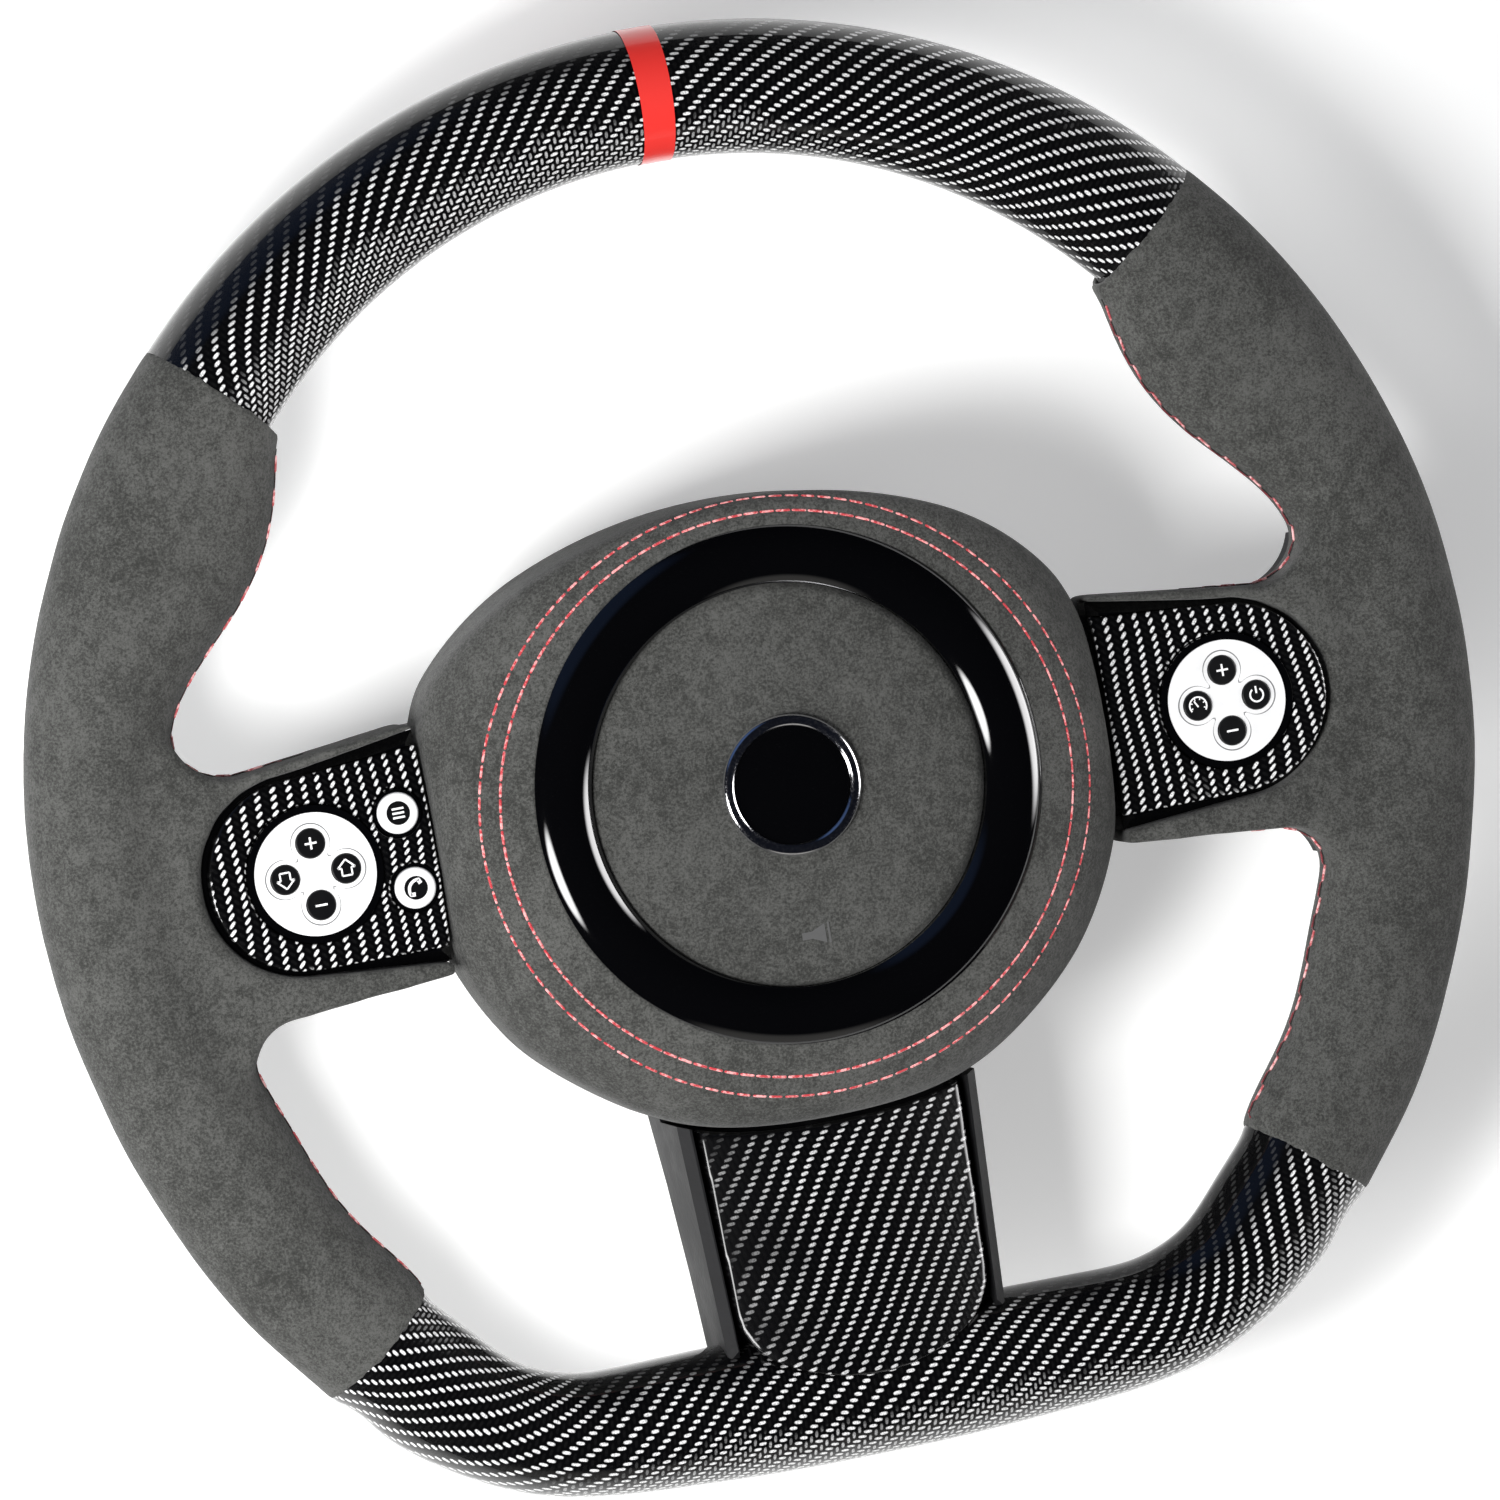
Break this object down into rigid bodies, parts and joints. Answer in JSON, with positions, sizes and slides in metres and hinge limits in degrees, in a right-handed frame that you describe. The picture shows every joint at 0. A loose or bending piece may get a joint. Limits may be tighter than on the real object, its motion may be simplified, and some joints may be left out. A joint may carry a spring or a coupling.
{
  "type": "steering wheel",
  "caption": "Flat-bottomed three-spoke sports steering wheel with suede grips, carbon-look rim sections, round switch pads and an airbag cover that presses for the horn.",
  "frame": {"origin": "on the steering axis, in the plane of the hub's back face where the column seats", "axes": "+Z along the steering axis toward the driver, +Y to twelve o'clock, +X to three o'clock"},
  "size_m": [0.3704, 0.3612, 0.0976],
  "materials": {
    "carbon": "clear-coated twill",
    "suede": "napped",
    "red_band": "gloss",
    "gloss_black": "gloss",
    "matte_black": "fine grain",
    "switch_white": "satin",
    "key_black": "satin",
    "bright_chrome": "polished",
    "casting": "as cast",
    "steel": "zinc plated",
    "foam": "moulded",
    "circuit": "lacquered",
    "silicone": "satin",
    "bag": "woven",
    "contact_brass": "bright"
  },
  "bodies": {
    "wheel": {"armature": "casting", "hub_insert": "steel", "top_core": "foam", "left_grip_core": "foam", "right_grip_core": "foam", "bottom_core": "foam", "top_carbon_front": "carbon", "top_carbon_rear": "carbon", "centre_marker": "red_band", "left_grip_cover": "suede", "right_grip_cover": "suede", "left_spoke_wrap": "suede", "right_spoke_wrap": "suede", "bottom_carbon_front": "carbon", "bottom_carbon_rear": "carbon", "left_spoke_trim": "carbon", "right_spoke_trim": "carbon", "left_spoke_frame": "gloss_black", "right_spoke_frame": "gloss_black", "bottom_spoke_cover": "carbon", "bottom_spoke_shell": "gloss_black", "rear_cover": "matte_black", "rear_cover_screws": "steel", "left_spoke_rear_cover": "matte_black", "right_spoke_rear_cover": "matte_black", "guide_pins": "steel", "horn_springs": "steel", "horn_contacts": "contact_brass", "left_aux_housings": "gloss_black", "left_switch_housing": "gloss_black", "left_switch_face": "switch_white", "left_switch_board": "circuit", "left_switch_mat": "silicone", "right_switch_housing": "gloss_black", "right_switch_face": "switch_white", "right_switch_board": "circuit", "right_switch_mat": "silicone"},
    "airbag_module": {"pad_cover": "suede", "pad_ring": "gloss_black", "pad_cap": "suede", "badge_bezel": "bright_chrome", "badge_face": "gloss_black", "airbag_housing": "steel", "airbag_cushion": "bag", "inflator": "steel", "inflator_nuts": "steel"},
    "left_key_up_body": {"left_key_up": "key_black"},
    "left_key_down_body": {"left_key_down": "key_black"},
    "left_key_left_body": {"left_key_left": "key_black"},
    "left_key_right_body": {"left_key_right": "key_black"},
    "right_key_up_body": {"right_key_up": "key_black"},
    "right_key_down_body": {"right_key_down": "key_black"},
    "right_key_left_body": {"right_key_left": "key_black"},
    "right_key_right_body": {"right_key_right": "key_black"},
    "left_key_aux_upper_body": {"left_key_aux_upper": "switch_white"},
    "left_key_aux_lower_body": {"left_key_aux_lower": "switch_white"}
  },
  "joints": [
    {"name": "horn_press", "type": "slide", "parent": "wheel", "child": "airbag_module", "axis": [0, 0, -1], "range_m": [0, 0.0025], "stiffness_N_per_m": 9000, "springref_m": -0.003, "deforming": ["horn_springs"]},
    {"name": "left_key_up_press", "type": "slide", "parent": "wheel", "child": "left_key_up_body", "axis": [0, 0, -1], "range_m": [0, 0.0008], "stiffness_N_per_m": 2500, "springref_m": -0.0004},
    {"name": "left_key_down_press", "type": "slide", "parent": "wheel", "child": "left_key_down_body", "axis": [0, 0, -1], "range_m": [0, 0.0008], "stiffness_N_per_m": 2500, "springref_m": -0.0004},
    {"name": "left_key_left_press", "type": "slide", "parent": "wheel", "child": "left_key_left_body", "axis": [0, 0, -1], "range_m": [0, 0.0008], "stiffness_N_per_m": 2500, "springref_m": -0.0004},
    {"name": "left_key_right_press", "type": "slide", "parent": "wheel", "child": "left_key_right_body", "axis": [0, 0, -1], "range_m": [0, 0.0008], "stiffness_N_per_m": 2500, "springref_m": -0.0004},
    {"name": "right_key_up_press", "type": "slide", "parent": "wheel", "child": "right_key_up_body", "axis": [0, 0, -1], "range_m": [0, 0.0008], "stiffness_N_per_m": 2500, "springref_m": -0.0004},
    {"name": "right_key_down_press", "type": "slide", "parent": "wheel", "child": "right_key_down_body", "axis": [0, 0, -1], "range_m": [0, 0.0008], "stiffness_N_per_m": 2500, "springref_m": -0.0004},
    {"name": "right_key_left_press", "type": "slide", "parent": "wheel", "child": "right_key_left_body", "axis": [0, 0, -1], "range_m": [0, 0.0008], "stiffness_N_per_m": 2500, "springref_m": -0.0004},
    {"name": "right_key_right_press", "type": "slide", "parent": "wheel", "child": "right_key_right_body", "axis": [0, 0, -1], "range_m": [0, 0.0008], "stiffness_N_per_m": 2500, "springref_m": -0.0004},
    {"name": "left_key_aux_upper_press", "type": "slide", "parent": "wheel", "child": "left_key_aux_upper_body", "axis": [0, 0, -1], "range_m": [0, 0.0008], "stiffness_N_per_m": 2500, "springref_m": -0.0004},
    {"name": "left_key_aux_lower_press", "type": "slide", "parent": "wheel", "child": "left_key_aux_lower_body", "axis": [0, 0, -1], "range_m": [0, 0.0008], "stiffness_N_per_m": 2500, "springref_m": -0.0004}
  ]
}
